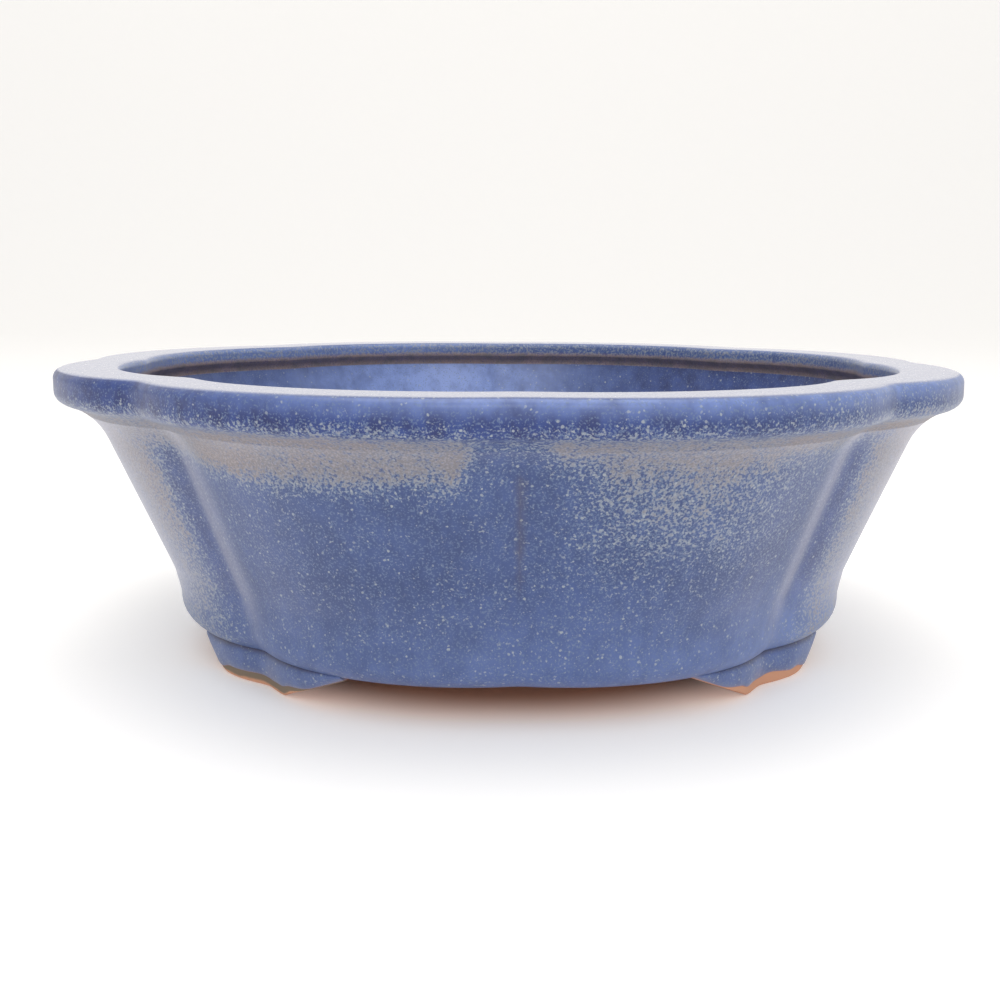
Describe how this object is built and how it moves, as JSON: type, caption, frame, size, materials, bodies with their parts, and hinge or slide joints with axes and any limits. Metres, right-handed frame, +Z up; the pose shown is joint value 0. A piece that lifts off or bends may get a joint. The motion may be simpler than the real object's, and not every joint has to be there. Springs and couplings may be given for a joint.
{
  "type": "bonsai pot",
  "caption": "Shallow eight-lobed ceramic bonsai pot with a flat projecting rim, flared wall, drained floor slab and corner feet.",
  "frame": {"origin": "centre of the pot's footprint, on the table plane under the feet", "axes": "+Z up, out of the opening; -Y towards the front crease; +X to the right seen from the front"},
  "size_m": [0.1996, 0.1996, 0.065],
  "materials": {
    "body_glaze": "satin mid-blue glaze with fine pale specks, paler under the rim and on the side lobes",
    "rim_glaze": "glossy cobalt glaze, dark on the rim's edge, breaking to brown inside the lip",
    "foot_clay": "blue glaze above, bare orange-brown clay at the sole"
  },
  "bodies": {
    "root": {"floor_slab": "body_glaze", "wall": "body_glaze", "rim": "rim_glaze", "foot_front_left": "foot_clay", "foot_front_right": "foot_clay", "foot_back_left": "foot_clay", "foot_back_right": "foot_clay"}
  },
  "joints": []
}
